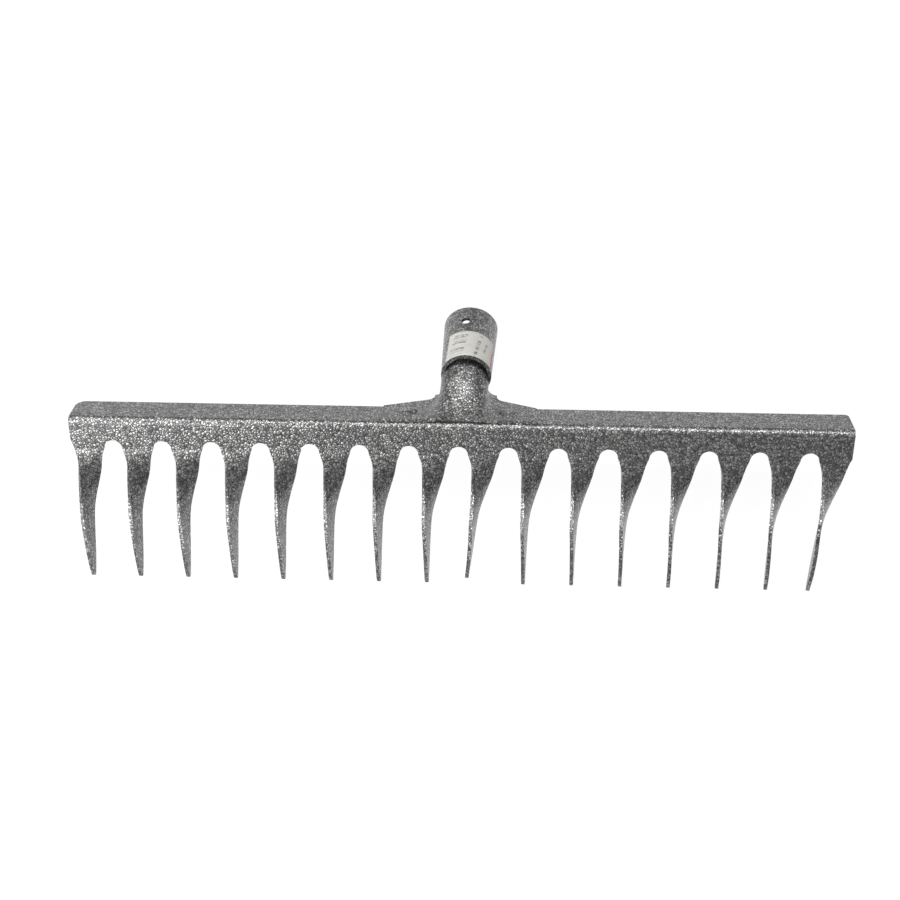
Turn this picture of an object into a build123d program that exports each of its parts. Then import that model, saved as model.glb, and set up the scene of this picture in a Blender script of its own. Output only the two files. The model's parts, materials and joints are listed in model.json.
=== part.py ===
from build123d import *
import math
import os

# Garden rake head: a toothed bar bent from one steel sheet, sixteen twisted tines, and a
# rolled handle socket riveted on top. Millimetres throughout.
#
# It is drawn in its working frame first: X along the bar, Y back towards the handle, Z up,
# with the bar's top face at Z = 0 and the front flange's outer face at Y = 0. At the end it
# is laid down as it rests on a table, on its tine tips and the socket's lower rim.

# Bar
BAR_LEFT_OVERHANG = 1.6
BAR_RIGHT_OVERHANG = 0.9
BAR_SHEET = 2.0
BAR_DEPTH = 21.0
BAR_BEND_RADIUS = 3.5
GULLET_TOP_DEPTH = 13.2
GULLET_RADIUS = 5.0
LEFT_CORNER_RADIUS = 5.5
RIGHT_CORNER_RADIUS = 2.5
LEFT_SHOULDER_DEPTH = 12.5
RIGHT_SHOULDER_DEPTH = 16.5

# Tines
TINE_COUNT = 16
TINE_PITCH = 26.68
END_TINE_HALF_WIDTH = 7.9
TINE_REACH = 94.2
TINE_BLADE_WIDTH = 12.4
TINE_TIP_WIDTH = 1.2
TINE_TWIST = 84.0
TINE_BELLY = 1.5
TINE_TIP_FORWARD = 7.5
TINE_SIDE_SHIFT = 3.8
TINE_STATIONS = 12
TINE_STATION_POWER = 1.25
ROOT_FLARE_SHARE = 0.13
TIP_TAPER_POWER = 5
TWIST_RATE = 2.9
TWIST_SOFTNESS = 0.03
SIDE_SHIFT_START = 0.06
SIDE_SHIFT_SHARE = 0.5

# Tines that use has bent: sideways lean of the tip, and how much shorter it now reaches
BENT_TINES = {9: (-4.5, 3.4), 16: (-3.6, 0.0)}

# Handle socket
SOCKET_SHEET = 1.8
SOCKET_MOUTH_DIAMETER = 30.2
SOCKET_NECK_DIAMETER = 27.4
SOCKET_TUBE_LENGTH = 42.8
SOCKET_NECK_Y = 30.0
SOCKET_AXIS_HEIGHT = 15.0
SOCKET_AXIS_SHIFT = 2.9
SOCKET_RISE = 14.0
SOCKET_YAW = 2.0
SEAM_GAP = 0.8
NAIL_HOLE_DIAMETER = 5.0
NAIL_HOLE_FROM_MOUTH = 12.0
NAIL_HOLE_TURN = 8.0

# Socket foot
FOOT_WIDTH = 85.0
FOOT_CENTRE = -0.6
FOOT_FRONT_Y = 2.0
FOOT_END_DEPTH = 16.0
FOOT_CORNER_RADIUS = 2.5
FOOT_ARCH_HEIGHT = 1.5
FOOT_ARCH_HALF_WIDTH = 20.0
NECK_FILLET_RADIUS = 6.0
FOOT_STATIONS = 5
FOOT_RISE_POWER = 1.25
FOOT_TURN_START = 0.6
NECK_SIDE_MARGIN = 1.4
NECK_SWEEP_TAPER = 2.0
NECK_SWEEP_BACK = 2.0

# Rivets
RIVET_SPACING = 53.6
RIVET_Y = 12.0
RIVET_HEAD_DIAMETER = 10.0
RIVET_HEAD_HEIGHT = 1.5
RIVET_HEAD_CLEARANCE = 0.05
RIVET_SHANK_DIAMETER = 4.6
RIVET_TAIL_DIAMETER = 8.0
RIVET_TAIL_HEIGHT = 1.8

# Price label on the socket
LABEL_THICKNESS = 0.15
LABEL_HEIGHT = 19.0
LABEL_FROM_MOUTH = 16.0
LABEL_WRAP = 105.0
LABEL_TURN = 2.0

# Derived sizes
ROOT_DEPTH = GULLET_TOP_DEPTH + GULLET_RADIUS
ROOT_HALF_WIDTH = TINE_PITCH / 2 - GULLET_RADIUS
TINE_LENGTH = TINE_REACH - ROOT_DEPTH
OUTER_TINE_REACH = (TINE_COUNT - 1) / 2 * TINE_PITCH + END_TINE_HALF_WIDTH
BAR_LEFT_REACH = OUTER_TINE_REACH + BAR_LEFT_OVERHANG
BAR_RIGHT_REACH = OUTER_TINE_REACH + BAR_RIGHT_OVERHANG
NECK_MIDDLE_RADIUS = SOCKET_NECK_DIAMETER / 2 - SOCKET_SHEET / 2
FOOT_FILLET_SHARE = NECK_FILLET_RADIUS / (NECK_MIDDLE_RADIUS + NECK_FILLET_RADIUS)


def tine_x(number):
    """Distance of a tine's root centre from the middle of the bar, tines counted from the left."""
    return (number - 1 - (TINE_COUNT - 1) / 2) * TINE_PITCH


def ease(share, start, length):
    """Smooth step from 0 to 1 that begins at start and takes the given length."""
    u = min(max((share - start) / length, 0.0), 1.0)
    return u * u * (3 - 2 * u)


def tine_twist(share):
    """Twist in degrees: it starts softly at the root, and most of it is in the first third."""
    turned = math.hypot(share, TWIST_SOFTNESS) - TWIST_SOFTNESS
    full = math.hypot(1.0, TWIST_SOFTNESS) - TWIST_SOFTNESS
    return TINE_TWIST * math.tanh(TWIST_RATE * turned) / math.tanh(TWIST_RATE * full)


def tine_half_width(share, root_half_width):
    """Half the blade's width: it flares out to the root and tapers to the tip."""
    flare = max(1 - share / ROOT_FLARE_SHARE, 0.0) ** 2
    blade = TINE_TIP_WIDTH + (TINE_BLADE_WIDTH - TINE_TIP_WIDTH) * (1 - share ** TIP_TAPER_POWER)
    return blade / 2 + (root_half_width - blade / 2) * flare


def tine_section(number, share):
    """Cross-section of one tine at a share of its length, from 0 at the root to 1 at the tip."""
    lean, shortening = BENT_TINES.get(number, (0.0, 0.0))
    left_root = END_TINE_HALF_WIDTH if number == 1 else ROOT_HALF_WIDTH
    right_root = END_TINE_HALF_WIDTH if number == TINE_COUNT else ROOT_HALF_WIDTH
    left = tine_half_width(share, left_root)
    right = tine_half_width(share, right_root)
    side_shift = TINE_SIDE_SHIFT * ease(share, SIDE_SHIFT_START, SIDE_SHIFT_SHARE)
    x = tine_x(number) - side_shift + lean * share ** 2
    y = BAR_SHEET / 2 - TINE_TIP_FORWARD * share - TINE_BELLY * math.sin(math.pi * share)
    z = -ROOT_DEPTH - (TINE_LENGTH - shortening) * share
    level = Plane(origin=(x, y, z), x_dir=(1, 0, 0), z_dir=(0, 0, -1))
    section = level.rotated((0, 0, tine_twist(share)))
    return section * Pos((right - left) / 2, 0) * Rectangle(left + right, BAR_SHEET)


def tine(number):
    """One twisted tine, from the bar's edge to the tip."""
    shares = [(i / TINE_STATIONS) ** TINE_STATION_POWER for i in range(TINE_STATIONS + 1)]
    return loft([tine_section(number, share) for share in shares])


def bar_profile():
    """The L-shaped section of the bar, outer faces at Y = 0 and Z = 0."""
    inner_radius = BAR_BEND_RADIUS - BAR_SHEET
    path = FilletPolyline((BAR_DEPTH, 0), (0, 0), (0, -ROOT_DEPTH), radius=BAR_BEND_RADIUS)
    back = FilletPolyline(
        (BAR_SHEET, -ROOT_DEPTH), (BAR_SHEET, -BAR_SHEET), (BAR_DEPTH, -BAR_SHEET), radius=inner_radius
    )
    closing = [Line(path @ 1, back @ 0), Line(back @ 1, path @ 0)]
    return make_face([path, back, *closing])


def gullet(number):
    """Cutter for the arch between one tine and the next."""
    x = tine_x(number) + TINE_PITCH / 2
    arch = Pos(x, -ROOT_DEPTH) * Circle(GULLET_RADIUS)
    return extrude(Plane.XZ * arch, amount=2 * BAR_SHEET, both=True)


def bar_end(side):
    """Place of a bar end along X, side -1 on the left and 1 on the right."""
    return BAR_RIGHT_REACH if side > 0 else -BAR_LEFT_REACH


def shoulder(side, depth):
    """Cutter that slopes a bar end in to the root of the outer tine."""
    end = bar_end(side)
    root = side * (tine_x(TINE_COUNT) + END_TINE_HALF_WIDTH)
    outline = make_face(
        Polyline(
            (end, -depth),
            (root, -ROOT_DEPTH),
            (root, -ROOT_DEPTH - 1),
            (end + side, -ROOT_DEPTH - 1),
            (end + side, -depth),
            close=True,
        )
    )
    return extrude(Plane.XZ * outline, amount=2 * BAR_SHEET, both=True)


def rear_corner(side, radius):
    """Cutter that rounds one rear corner of the top flange, seen from above."""
    corner = (bar_end(side), BAR_DEPTH)
    centre = (corner[0] - side * radius, corner[1] - radius)
    square = Pos(corner[0] - side * radius / 2, corner[1] - radius / 2) * Rectangle(radius, radius)
    return extrude(square - Pos(*centre) * Circle(radius), amount=2 * BAR_SHEET, both=True)


def rivet_x(side):
    """Place of a rivet along the bar, side -1 on the left and 1 on the right."""
    return FOOT_CENTRE + side * RIVET_SPACING / 2


def rivet_holes():
    """Both rivets' shank holes, through the foot and the top flange."""
    hole = Cylinder(RIVET_SHANK_DIAMETER / 2, 8 * BAR_SHEET)
    return Pos(rivet_x(-1), RIVET_Y, 0) * hole + Pos(rivet_x(1), RIVET_Y, 0) * hole


def toothed_bar():
    """The bent bar with its gullets, its end shapes and all the tines, one piece of sheet."""
    start = Pos(-BAR_LEFT_REACH, 0, 0)
    bar = start * extrude(Plane.YZ * bar_profile(), amount=BAR_LEFT_REACH + BAR_RIGHT_REACH)
    for number in range(1, TINE_COUNT):
        bar -= gullet(number)
    bar -= shoulder(-1, LEFT_SHOULDER_DEPTH)
    bar -= shoulder(1, RIGHT_SHOULDER_DEPTH)
    bar -= rear_corner(-1, LEFT_CORNER_RADIUS)
    bar -= rear_corner(1, RIGHT_CORNER_RADIUS)
    bar -= rivet_holes()
    return bar + [tine(number) for number in range(1, TINE_COUNT + 1)]


def tube_frame():
    """Place of the tube: origin on its axis at the neck, Z along the axis to the mouth."""
    rise = math.radians(SOCKET_RISE)
    yaw = math.radians(SOCKET_YAW)
    along = Vector(math.sin(yaw) * math.cos(rise), math.cos(yaw) * math.cos(rise), math.sin(rise))
    across = Vector(math.cos(yaw), -math.sin(yaw), 0)
    origin = (SOCKET_AXIS_SHIFT, SOCKET_NECK_Y, SOCKET_AXIS_HEIGHT)
    return Plane(origin=origin, x_dir=across, z_dir=along)


def tube_radius(distance):
    """Outer radius of the tube at a distance from the neck."""
    share = distance / SOCKET_TUBE_LENGTH
    return (SOCKET_NECK_DIAMETER + (SOCKET_MOUTH_DIAMETER - SOCKET_NECK_DIAMETER) * share) / 2


def cone(start, end, offset):
    """Solid cone round the tube's axis between two distances, offset from its outer face."""
    near = Pos(0, 0, start) * Circle(tube_radius(start) + offset)
    far = Pos(0, 0, end) * Circle(tube_radius(end) + offset)
    return loft([near, far])


def rolled_tube():
    """The rolled conical tube, with its open seam underneath and the nail hole on top."""
    outer = cone(0, SOCKET_TUBE_LENGTH, 0)
    inner = cone(-1, SOCKET_TUBE_LENGTH + 1, -SOCKET_SHEET)
    gap = Box(SEAM_GAP, SOCKET_MOUTH_DIAMETER, 2 * SOCKET_TUBE_LENGTH)
    seam = Pos(0, SOCKET_MOUTH_DIAMETER / 2, SOCKET_TUBE_LENGTH / 2) * gap
    along = SOCKET_TUBE_LENGTH - NAIL_HOLE_FROM_MOUTH
    drill = Cylinder(NAIL_HOLE_DIAMETER / 2, SOCKET_MOUTH_DIAMETER / 2)
    hole = Rot(0, 0, -NAIL_HOLE_TURN) * Pos(0, -SOCKET_MOUTH_DIAMETER / 2, along) * Rot(90, 0, 0) * drill
    return tube_frame() * (outer - inner - seam - hole)


def saddle_edge(half_width, height, fillet_share, offset):
    """Upper or lower edge of the saddle's section: wing, fillet, crown, fillet, wing."""
    reach = (half_width ** 2 + height ** 2) / (2 * height)
    fillet_radius = fillet_share * reach
    crown_radius = reach - fillet_radius
    lean = Vector(half_width, fillet_radius - height + crown_radius) / reach
    fillet = fillet_radius - offset
    crown = crown_radius + offset
    crown_centre = Vector(0, height - crown_radius)
    fillet_centre = Vector(half_width, fillet_radius)
    down = (Vector(0, -1) - lean).normalized()
    wing_end = Vector(FOOT_WIDTH / 2, offset)
    wing_start = Vector(half_width, offset)
    middle = fillet_centre + down * fillet
    tangent = crown_centre + lean * crown
    right = [wing_end, wing_start, middle, tangent]
    left = [Vector(-p.X, p.Y) for p in right]
    top = crown_centre + Vector(0, crown)
    return [
        Line(left[0], left[1]),
        ThreePointArc(left[1], left[2], left[3]),
        ThreePointArc(left[3], top, right[3]),
        ThreePointArc(right[3], right[2], right[1]),
        Line(right[1], right[0]),
    ]


def saddle_section(plane, half_width, height, fillet_share):
    """One section of the sheet that carries the tube down to the foot's flat wings."""
    upper = saddle_edge(half_width, height, fillet_share, SOCKET_SHEET / 2)
    lower = saddle_edge(half_width, height, fillet_share, -SOCKET_SHEET / 2)
    ends = [Line(upper[0] @ 0, lower[0] @ 0), Line(upper[-1] @ 1, lower[-1] @ 1)]
    return plane * make_face([*upper, *lower, *ends])


def foot_outline():
    """Outline of the foot seen from above: square wings that sweep in to the neck."""
    half = FOOT_WIDTH / 2
    end_y = FOOT_FRONT_Y + FOOT_END_DEPTH
    neck = SOCKET_NECK_DIAMETER / 2 + NECK_SIDE_MARGIN
    sweep = neck + NECK_SWEEP_TAPER
    shift = SOCKET_AXIS_SHIFT
    beyond = SOCKET_NECK_Y + 2 * SOCKET_NECK_DIAMETER
    sweep_y = SOCKET_NECK_Y - NECK_SWEEP_BACK
    left_end = FOOT_CENTRE - half
    right_end = FOOT_CENTRE + half
    left = [(left_end, 0), (left_end, end_y), (shift - sweep, sweep_y), (shift - neck, beyond)]
    right = [(shift + neck, beyond), (shift + sweep, sweep_y), (right_end, end_y), (right_end, 0)]
    sides = [
        FilletPolyline(*left, radius=[FOOT_CORNER_RADIUS, NECK_FILLET_RADIUS]),
        FilletPolyline(*right, radius=[NECK_FILLET_RADIUS, FOOT_CORNER_RADIUS]),
    ]
    outline = make_face([*sides, Line(left[-1], right[0]), Line(right[-1], left[0])])
    return extrude(outline, amount=3 * SOCKET_MOUTH_DIAMETER, both=True)


def saddle():
    """The foot and the arched sheet that rises from it into the tube's upper half."""
    crown_radius = NECK_MIDDLE_RADIUS
    axis_above_wings = (SOCKET_AXIS_HEIGHT - SOCKET_SHEET / 2) / math.cos(math.radians(SOCKET_RISE))
    neck_y = SOCKET_NECK_Y + axis_above_wings * math.sin(math.radians(SOCKET_RISE))
    neck_height = axis_above_wings + crown_radius
    neck_reach = crown_radius + NECK_FILLET_RADIUS
    neck_half_width = math.sqrt(2 * neck_reach * neck_height - neck_height ** 2)
    sections = []
    for i in range(FOOT_STATIONS + 1):
        share = i / FOOT_STATIONS
        half_width = FOOT_ARCH_HALF_WIDTH + (neck_half_width - FOOT_ARCH_HALF_WIDTH) * share
        height = FOOT_ARCH_HEIGHT + (neck_height - FOOT_ARCH_HEIGHT) * share ** FOOT_RISE_POWER
        turned = ease(share, FOOT_TURN_START, 1 - FOOT_TURN_START)
        y = FOOT_FRONT_Y + (neck_y - FOOT_FRONT_Y) * share
        x = FOOT_CENTRE + (SOCKET_AXIS_SHIFT - FOOT_CENTRE) * share
        plane = Plane(origin=(x, y, SOCKET_SHEET / 2), x_dir=(1, 0, 0), z_dir=(0, -1, 0))
        plane = plane.rotated((-SOCKET_RISE * turned, 0, SOCKET_YAW * turned))
        sections.append(saddle_section(plane, half_width, height, FOOT_FILLET_SHARE))
    below = Pos(FOOT_CENTRE, BAR_DEPTH / 2, 0) * Box(
        2 * FOOT_WIDTH, BAR_DEPTH, SOCKET_SHEET, align=(Align.CENTER, Align.CENTER, Align.MAX)
    )
    return (loft(sections) & foot_outline()) - below


def handle_socket():
    """Tube, saddle and foot, one piece of sheet, with the rivet holes."""
    return rolled_tube() + saddle() - rivet_holes()


def dome_radius(half_width, height):
    """Radius of a low dome of the given half width and height."""
    return (half_width ** 2 + height ** 2) / (2 * height)


def rivet(side):
    """One rivet: a low domed head on the foot, a shank, and a set tail under the flange."""
    head_base = SOCKET_SHEET + RIVET_HEAD_CLEARANCE
    tail_base = -BAR_SHEET
    shank = RIVET_SHANK_DIAMETER / 2
    head = RIVET_HEAD_DIAMETER / 2
    tail = RIVET_TAIL_DIAMETER / 2
    head_dome = dome_radius(head, RIVET_HEAD_HEIGHT)
    tail_dome = dome_radius(tail, RIVET_TAIL_HEIGHT)
    outline = make_face(
        [
            Line((0, head_base + RIVET_HEAD_HEIGHT), (0, tail_base - RIVET_TAIL_HEIGHT)),
            RadiusArc((0, tail_base - RIVET_TAIL_HEIGHT), (tail, tail_base), -tail_dome),
            Line((tail, tail_base), (shank, tail_base)),
            Line((shank, tail_base), (shank, head_base)),
            Line((shank, head_base), (head, head_base)),
            RadiusArc((head, head_base), (0, head_base + RIVET_HEAD_HEIGHT), -head_dome),
        ]
    )
    return Pos(rivet_x(side), RIVET_Y, 0) * revolve(Plane.XZ * outline, axis=Axis.Z)


def price_label():
    """The paper label round the tube's upper side."""
    far = SOCKET_TUBE_LENGTH - LABEL_FROM_MOUTH
    near = far - LABEL_HEIGHT
    skin = cone(near, far, LABEL_THICKNESS) - cone(near, far, 0)
    reach = 2 * SOCKET_MOUTH_DIAMETER
    half = math.radians(LABEL_WRAP / 2)
    wedge = make_face(
        Polyline(
            (0, 0),
            (-reach * math.sin(half), -reach * math.cos(half)),
            (reach * math.sin(half), -reach * math.cos(half)),
            close=True,
        )
    )
    wedge = Rot(0, 0, LABEL_TURN) * Pos(0, 0, near) * extrude(wedge, amount=LABEL_HEIGHT)
    return tube_frame() * (skin & wedge)


def rest_turn():
    """Degrees to turn about X so that the tine tips and the socket's lower rim lie level."""
    tip_y = BAR_SHEET / 2 - TINE_TIP_FORWARD + TINE_TIP_WIDTH / 2 * math.sin(math.radians(TINE_TWIST))
    tip_y += BAR_SHEET / 2 * math.cos(math.radians(TINE_TWIST))
    mouth = tube_frame() * Pos(0, 0, SOCKET_TUBE_LENGTH) * Pos(0, SOCKET_MOUTH_DIAMETER / 2, 0)
    rim = mouth.position
    return -math.degrees(math.atan2(rim.Z + TINE_REACH, rim.Y - tip_y))


pieces = {
    "toothed_bar": toothed_bar(),
    "handle_socket": handle_socket(),
    "rivet_left": rivet(-1),
    "rivet_right": rivet(1),
    "price_label": price_label(),
}

turn = Rot(rest_turn(), 0, 0)
laid = {name: turn * piece for name, piece in pieces.items()}
box = Compound(list(laid.values())).bounding_box()
seat = Pos(-box.center().X, -box.center().Y, -box.min.Z)

os.makedirs("parts", exist_ok=True)
for name, piece in laid.items():
    export_step(seat * piece, f"parts/{name}.step")
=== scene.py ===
import json
import math

import bpy
from mathutils import Matrix, Vector


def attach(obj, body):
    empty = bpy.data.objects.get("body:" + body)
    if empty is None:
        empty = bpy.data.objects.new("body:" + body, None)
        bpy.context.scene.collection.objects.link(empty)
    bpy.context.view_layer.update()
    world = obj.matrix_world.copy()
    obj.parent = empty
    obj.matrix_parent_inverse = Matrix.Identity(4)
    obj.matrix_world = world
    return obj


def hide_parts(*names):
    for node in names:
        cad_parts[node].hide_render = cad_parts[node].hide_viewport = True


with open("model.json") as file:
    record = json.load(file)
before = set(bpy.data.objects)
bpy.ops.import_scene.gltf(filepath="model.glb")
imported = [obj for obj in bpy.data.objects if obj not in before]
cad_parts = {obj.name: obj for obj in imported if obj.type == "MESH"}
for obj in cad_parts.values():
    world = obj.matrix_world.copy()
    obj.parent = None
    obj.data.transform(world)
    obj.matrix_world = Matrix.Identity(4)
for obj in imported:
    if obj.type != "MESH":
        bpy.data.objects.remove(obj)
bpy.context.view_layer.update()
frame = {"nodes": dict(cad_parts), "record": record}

# The head lies on its tine tips and the socket's rim, turned by this from its working frame,
# where X runs along the bar, Y back to the handle and Z up.
REST_TURN = math.radians(-52.3428)
HEAD_ORIGIN = Vector((0.00035, 0.002922, 0.052967))

# Camera, placed in the working frame: angles in degrees, lengths in metres.
CAMERA_TARGET = Vector((0.0, 0.010, -0.040))
CAMERA_AZIMUTH = 2.3
CAMERA_ELEVATION = 27.0
CAMERA_ROLL = 0.05
CAMERA_DISTANCE = 0.800
CAMERA_SLIDE = (-0.0050, 0.0177)
SENSOR_WIDTH = 36.0
FOCAL_PIXELS = 1458.0
IMAGE_WIDTH = 900.0

# Colours, linear.
SILVER = (0.38, 0.38, 0.373)
SILVER_DARK_CELL = (0.11, 0.11, 0.108)
VEIN = (0.014, 0.014, 0.015)
PAPER = (0.345, 0.337, 0.312)
WORN_PAPER = (0.30, 0.295, 0.275)
PRINT_GREY = (0.07, 0.07, 0.085)
PINK = (0.36, 0.12, 0.17)

# The socket's tube as the CAD has it, metres.
MOUTH_RADIUS = 0.0151
NECK_RADIUS = 0.0137
TUBE_LENGTH = 0.0428

# The paper label on it: reaches in metres from the mouth, angles in radians from the tube's
# top, first at the label's upper edge and then at its lower one.
LABEL_REACH = (0.0213, 0.0423)
LABEL_LEFT_EDGE = (-0.79, -0.93)
LABEL_RIGHT_EDGE = (1.25, 1.22)
LABEL_LIFT = 0.00003
LABEL_THICKNESS = 0.00012
LABEL_ROWS = 16
LABEL_COLUMNS = 40

# The label's print in the same measures, with the skew of the whole print in radians a metre.
PRINT_SKEW = 10.6
PRINT_START = 0.0243
BAR_ANGLES = (-0.56, 0.02)
BAR_REACH = (0.0241, 0.0412)
BAR_PITCH = 0.0009
FIRST_ROW = (0.45, 0.58)
FIRST_ROW_REACH = (0.0233, 0.0418)
SECOND_ROW = (0.79, 0.90)
SECOND_ROW_REACH = (0.0275, 0.0375)
DASH_PITCH = 0.0009
PRINT_SOFTNESS = 0.02
REACH_SOFTNESS = 0.0002
INK_STRENGTH = 0.9
PINK_START = 1.14
PINK_SOFTNESS = 0.02
PINK_REACH = 0.030

# Hammertone texture, metres.
CELL_SIZE = 0.0015
WARP_SIZE = 0.0011
WARP_REACH = 0.00045
VEIN_HEIGHT = 0.00011
PATCH_SIZE = 0.012
VEIN_EDGE = 0.03
VEIN_WIDTH = 0.15
VEIN_WIDTH_VARIATION = 0.10
DOME_WIDTH = 0.42


def head_matrix():
    """From the head's working frame to the frame that it lies in."""
    return Matrix.Translation(HEAD_ORIGIN) @ Matrix.Rotation(REST_TURN, 4, "X")


def view_axes(azimuth, elevation, roll):
    """Right, up and forward of a camera, in the working frame."""
    az, el, ro = (math.radians(a) for a in (azimuth, elevation, roll))
    forward = Vector((-math.sin(az) * math.cos(el), math.cos(az) * math.cos(el), -math.sin(el)))
    right = Vector((math.cos(az), math.sin(az), 0.0))
    up = right.cross(forward)
    rolled_right = right * math.cos(ro) + up * math.sin(ro)
    rolled_up = up * math.cos(ro) - right * math.sin(ro)
    return rolled_right, rolled_up, forward


def add_camera():
    right, up, forward = view_axes(CAMERA_AZIMUTH, CAMERA_ELEVATION, CAMERA_ROLL)
    place = CAMERA_TARGET - forward * CAMERA_DISTANCE + right * CAMERA_SLIDE[0] + up * CAMERA_SLIDE[1]
    local = Matrix((right, up, -forward)).transposed().to_4x4()
    local.translation = place
    data = bpy.data.cameras.new("camera")
    data.sensor_width = SENSOR_WIDTH
    data.lens = FOCAL_PIXELS / IMAGE_WIDTH * SENSOR_WIDTH
    data.clip_start = 0.01
    data.clip_end = 20.0
    camera = bpy.data.objects.new("camera", data)
    camera.matrix_world = head_matrix() @ local
    bpy.context.scene.collection.objects.link(camera)
    bpy.context.scene.camera = camera


def add_light(name, place, target, size, power):
    """Soft rectangular lamp that looks at a target, both given in the working frame."""
    data = bpy.data.lights.new(name, "AREA")
    data.shape = "RECTANGLE"
    data.size, data.size_y = size
    data.energy = power
    lamp = bpy.data.objects.new(name, data)
    turned = (Vector(target) - Vector(place)).to_track_quat("-Z", "Y").to_matrix().to_4x4()
    lamp.matrix_world = head_matrix() @ Matrix.Translation(place) @ turned
    bpy.context.scene.collection.objects.link(lamp)


class Nodes:
    """A small helper that adds nodes to a material or world and links them."""

    def __init__(self, tree):
        self.tree = tree
        self.tree.nodes.clear()

    def add(self, kind, inputs=None, **settings):
        node = self.tree.nodes.new(kind)
        for key, value in settings.items():
            setattr(node, key, value)
        for key, value in (inputs or {}).items():
            self.put(node.inputs[key], value)
        return node

    def put(self, socket, value):
        if isinstance(value, bpy.types.NodeSocket):
            self.tree.links.new(value, socket)
        elif isinstance(value, (tuple, Vector)) and socket.type == "RGBA":
            socket.default_value = (*value, 1.0)
        else:
            socket.default_value = value

    def math(self, operation, *values, clamp=False):
        node = self.add("ShaderNodeMath", operation=operation, use_clamp=clamp)
        for socket, value in zip(node.inputs, values):
            self.put(socket, value)
        return node.outputs[0]

    def vector_math(self, operation, *values):
        node = self.add("ShaderNodeVectorMath", operation=operation)
        for socket, value in zip(node.inputs, values):
            self.put(socket, value)
        return node.outputs[0]

    def step(self, value, low, high):
        """Smooth step of a value from 0 at low to 1 at high."""
        node = self.add(
            "ShaderNodeMapRange",
            {"Value": value, "From Min": low, "From Max": high},
            interpolation_type="SMOOTHSTEP",
        )
        return node.outputs["Result"]

    def mix(self, factor, first, second):
        node = self.add("ShaderNodeMix", data_type="RGBA")
        self.put(node.inputs["Factor"], factor)
        self.put(node.inputs[6], first)
        self.put(node.inputs[7], second)
        return node.outputs[2]


def new_material(name):
    material = bpy.data.materials.new(name)
    material.use_nodes = True
    return material, Nodes(material.node_tree)


def hammertone(name):
    """Silver-vein hammered paint: bright raised cells of metal flake with dark sunken veins."""
    material, n = new_material(name)
    where = n.add("ShaderNodeTexCoord").outputs["Object"]
    warp = n.add("ShaderNodeTexNoise", {"Vector": where, "Scale": 1 / WARP_SIZE, "Detail": 1.0})
    centred = n.vector_math("SUBTRACT", warp.outputs["Color"], (0.5, 0.5, 0.5))
    shift = n.vector_math("SCALE", centred)
    n.put(shift.node.inputs["Scale"], 2 * WARP_REACH)
    warped = n.vector_math("ADD", where, shift)
    edge = n.add(
        "ShaderNodeTexVoronoi", {"Vector": warped, "Scale": 1 / CELL_SIZE}, feature="DISTANCE_TO_EDGE"
    ).outputs["Distance"]
    cell = n.add("ShaderNodeTexVoronoi", {"Vector": warped, "Scale": 1 / CELL_SIZE}, feature="F1")
    cell_tone = n.add("ShaderNodeSeparateColor", {"Color": cell.outputs["Color"]}).outputs["Red"]
    patch = n.add("ShaderNodeTexNoise", {"Vector": where, "Scale": 1 / PATCH_SIZE, "Detail": 3.0})
    width = n.math("MULTIPLY_ADD", patch.outputs["Fac"], VEIN_WIDTH_VARIATION, VEIN_WIDTH)
    body = n.step(edge, VEIN_EDGE, width)
    silver = n.mix(cell_tone, SILVER_DARK_CELL, SILVER)
    colour = n.mix(body, VEIN, silver)
    dome = n.step(edge, 0.0, DOME_WIDTH)
    bump = n.add("ShaderNodeBump", {"Height": dome, "Distance": VEIN_HEIGHT, "Strength": 1.0})
    roughness = n.math("MULTIPLY_ADD", body, -0.16, 0.50)
    metallic = n.math("MULTIPLY_ADD", body, 0.55, 0.30)
    shader = n.add(
        "ShaderNodeBsdfPrincipled",
        {
            "Base Color": colour,
            "Metallic": metallic,
            "Roughness": roughness,
            "Normal": bump.outputs["Normal"],
            "Coat Weight": 0.35,
            "Coat Roughness": 0.12,
        },
    )
    n.add("ShaderNodeOutputMaterial", {"Surface": shader.outputs["BSDF"]})
    return material


def socket_axes():
    """Centre of the socket's mouth, its axis out of the mouth, and its right and top."""
    mount = next(m for m in frame["record"]["mounts"] if m["name"] == "handle_socket_mouth")
    axis = Vector(mount["axis"])
    across = (Vector((1, 0, 0)) - axis * axis.x).normalized()
    return Vector(mount["pos_m"]), axis, across, across.cross(axis)


def tube_coordinates(n):
    """Angle round the socket's axis and distance back from its mouth, as node outputs."""
    mouth, axis, across, top = socket_axes()
    where = n.add("ShaderNodeTexCoord").outputs["Object"]
    local = n.vector_math("SUBTRACT", where, tuple(mouth))
    along = n.add("ShaderNodeVectorMath", {0: local, 1: axis}, operation="DOT_PRODUCT").outputs["Value"]
    side = n.add("ShaderNodeVectorMath", {0: local, 1: across}, operation="DOT_PRODUCT").outputs["Value"]
    rise = n.add("ShaderNodeVectorMath", {0: local, 1: top}, operation="DOT_PRODUCT").outputs["Value"]
    angle = n.math("ARCTAN2", side, rise)
    return angle, n.math("MULTIPLY", along, -1.0)


def between(n, value, low, high, soft):
    """1 where a value lies between low and high, with soft ends."""
    inside = n.step(value, low - soft, low + soft)
    outside = n.step(value, high - soft, high + soft)
    return n.math("SUBTRACT", inside, outside, clamp=True)


def print_area(n, skewed, back, angles, reach):
    """1 inside one block of the label's print."""
    round_tube = between(n, skewed, *angles, PRINT_SOFTNESS)
    along_tube = between(n, back, *reach, REACH_SOFTNESS)
    return n.math("MULTIPLY", round_tube, along_tube)


def random_steps(n, value, length, seed):
    """A random number from 0 to 1 for each length of the value."""
    whole = n.math("FLOOR", n.math("DIVIDE", value, length))
    node = n.add("ShaderNodeTexWhiteNoise", {"W": n.math("ADD", whole, seed)}, noise_dimensions="1D")
    return node.outputs["Value"]


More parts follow.
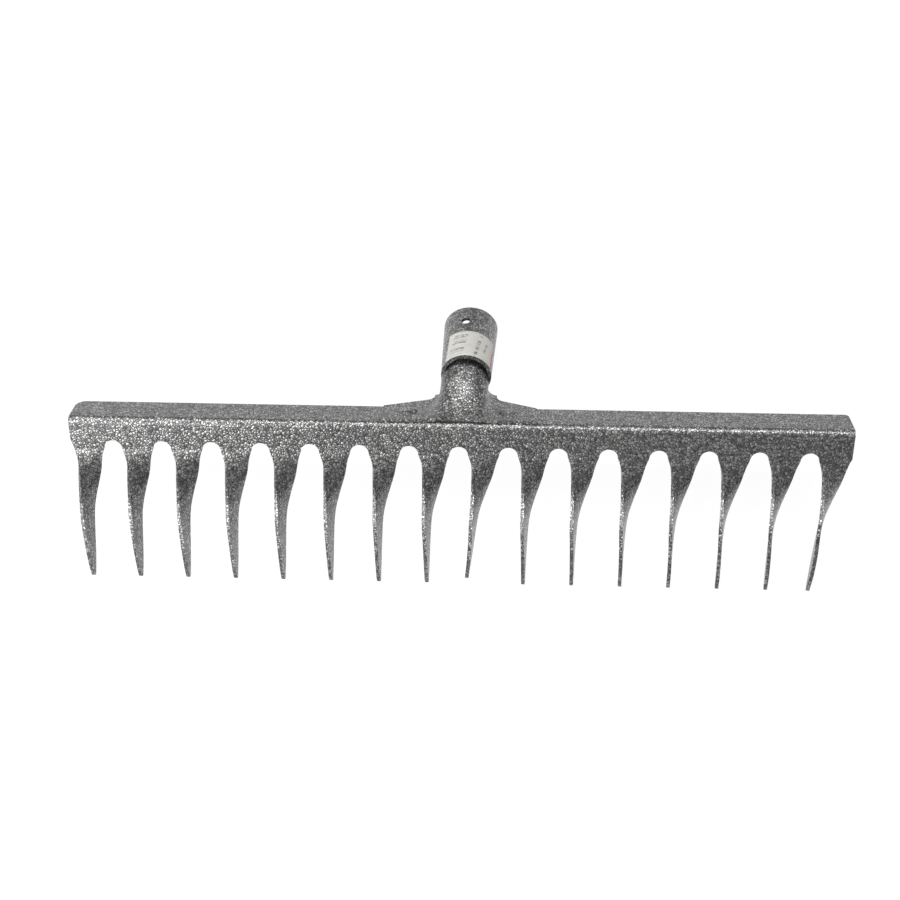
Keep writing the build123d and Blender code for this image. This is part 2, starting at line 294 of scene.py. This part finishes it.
def paper_label(name):
    """Off-white sticker with plain bars at the left, two rows of dashes, and a pink edge."""
    material, n = new_material(name)
    angle, back = tube_coordinates(n)
    start = n.math("SUBTRACT", angle, PRINT_SKEW * PRINT_START)
    skewed = n.math("MULTIPLY_ADD", back, PRINT_SKEW, start)
    bars = n.step(random_steps(n, back, BAR_PITCH, 3.0), 0.35, 0.75)
    bars = n.math("MULTIPLY", bars, print_area(n, skewed, back, BAR_ANGLES, BAR_REACH))
    dashes = n.step(random_steps(n, back, DASH_PITCH, 11.0), 0.25, 0.45)
    first = print_area(n, skewed, back, FIRST_ROW, FIRST_ROW_REACH)
    second = print_area(n, skewed, back, SECOND_ROW, SECOND_ROW_REACH)
    dashes = n.math("MULTIPLY", dashes, n.math("ADD", first, second, clamp=True))
    where = n.add("ShaderNodeTexCoord").outputs["Object"]
    wear = n.add("ShaderNodeTexNoise", {"Vector": where, "Scale": 700.0, "Detail": 2.0})
    ink = n.math("ADD", bars, dashes, clamp=True)
    ink = n.math("MULTIPLY", ink, n.step(wear.outputs["Fac"], 0.25, 0.6))
    fibre = n.add("ShaderNodeTexNoise", {"Vector": where, "Scale": 900.0, "Detail": 4.0})
    dirt = n.add("ShaderNodeTexNoise", {"Vector": where, "Scale": 130.0, "Detail": 3.0})
    paper = n.mix(n.step(dirt.outputs["Fac"], 0.45, 0.8), PAPER, WORN_PAPER)
    pink_side = n.step(angle, PINK_START, PINK_START + PINK_SOFTNESS)
    edge = n.math("MULTIPLY", pink_side, n.step(back, PINK_REACH, PINK_REACH + REACH_SOFTNESS))
    paper = n.mix(edge, paper, PINK)
    printed = n.mix(n.math("MULTIPLY", ink, INK_STRENGTH), paper, PRINT_GREY)
    bump = n.add("ShaderNodeBump", {"Height": fibre.outputs["Fac"], "Distance": 0.00002, "Strength": 0.5})
    shader = n.add(
        "ShaderNodeBsdfPrincipled",
        {"Base Color": printed, "Roughness": 0.6, "Normal": bump.outputs["Normal"]},
    )
    n.add("ShaderNodeOutputMaterial", {"Surface": shader.outputs["BSDF"]})
    return material


def part_way(ends, share):
    """Value between two ends."""
    return ends[0] + (ends[1] - ends[0]) * share


def label_point(row, column):
    """Place of one grid point of the label on the tube."""
    mouth, axis, across, top = socket_axes()
    down = row / LABEL_ROWS
    back = part_way(LABEL_REACH, down)
    sides = (part_way(LABEL_LEFT_EDGE, down), part_way(LABEL_RIGHT_EDGE, down))
    angle = part_way(sides, column / LABEL_COLUMNS)
    radius = part_way((MOUTH_RADIUS, NECK_RADIUS), back / TUBE_LENGTH) + LABEL_LIFT
    return mouth - axis * back + (top * math.cos(angle) + across * math.sin(angle)) * radius


def add_label():
    """The paper label, wrapped round the tube down to its neck, in the place of the CAD one."""
    width = LABEL_COLUMNS + 1
    points = [label_point(row, column) for row in range(LABEL_ROWS + 1) for column in range(width)]
    corners = [row * width + column for row in range(LABEL_ROWS) for column in range(LABEL_COLUMNS)]
    faces = [(corner, corner + width, corner + width + 1, corner + 1) for corner in corners]
    mesh = bpy.data.meshes.new("label")
    mesh.from_pydata(points, [], faces)
    mesh.shade_smooth()
    mesh.materials.append(paper_label("paper"))
    label = bpy.data.objects.new("label", mesh)
    bpy.context.scene.collection.objects.link(label)
    paper = label.modifiers.new("paper", "SOLIDIFY")
    paper.thickness = LABEL_THICKNESS
    paper.offset = 1.0
    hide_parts("price_label")
    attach(label, "root")


def seen_directly(n):
    """1 for camera, glossy and transmission rays, which see a plain white background."""
    path = n.add("ShaderNodeLightPath")
    seen = n.math("ADD", path.outputs["Is Camera Ray"], path.outputs["Is Glossy Ray"], clamp=True)
    return n.math("ADD", seen, path.outputs["Is Transmission Ray"], clamp=True)


def add_floor():
    bpy.ops.mesh.primitive_plane_add(size=6.0)
    floor = bpy.context.object
    floor.name = "floor"
    material, n = new_material("floor")
    diffuse = n.add("ShaderNodeBsdfDiffuse", {"Color": (0.8, 0.8, 0.8)})
    white = n.add("ShaderNodeEmission", {"Color": (1.0, 1.0, 1.0), "Strength": 1.02})
    share = n.math("MULTIPLY", seen_directly(n), 0.92)
    mixed = n.add("ShaderNodeMixShader", {0: share, 1: diffuse.outputs[0], 2: white.outputs[0]})
    n.add("ShaderNodeOutputMaterial", {"Surface": mixed.outputs[0]})
    floor.data.materials.append(material)


def light_world():
    world = bpy.data.worlds.new("world")
    bpy.context.scene.world = world
    world.use_nodes = True
    n = Nodes(world.node_tree)
    soft = n.add("ShaderNodeBackground", {"Color": (1.0, 1.0, 1.0), "Strength": 0.32})
    white = n.add("ShaderNodeBackground", {"Color": (1.0, 1.0, 1.0), "Strength": 1.0})
    path = n.add("ShaderNodeLightPath")
    mixed = n.add(
        "ShaderNodeMixShader", {0: path.outputs["Is Camera Ray"], 1: soft.outputs[0], 2: white.outputs[0]}
    )
    n.add("ShaderNodeOutputWorld", {"Surface": mixed.outputs[0]})


def dress(node, material):
    """Gives a CAD node its finish."""
    mesh = frame["nodes"][node].data
    mesh.materials.clear()
    mesh.materials.append(material)


add_camera()
light_world()
add_floor()
add_light("front left", (-0.60, -0.70, 0.0), (-0.10, 0, 0), (0.8, 0.8), 13.0)
add_light("overhead", (0.0, -0.55, 1.10), (0, 0, 0), (2.0, 0.6), 26.0)

coat = hammertone("hammertone")
for steel_piece in ("toothed_bar", "handle_socket", "rivet_left", "rivet_right"):
    dress(steel_piece, coat)
add_label()

bpy.context.scene.view_settings.view_transform = "Standard"
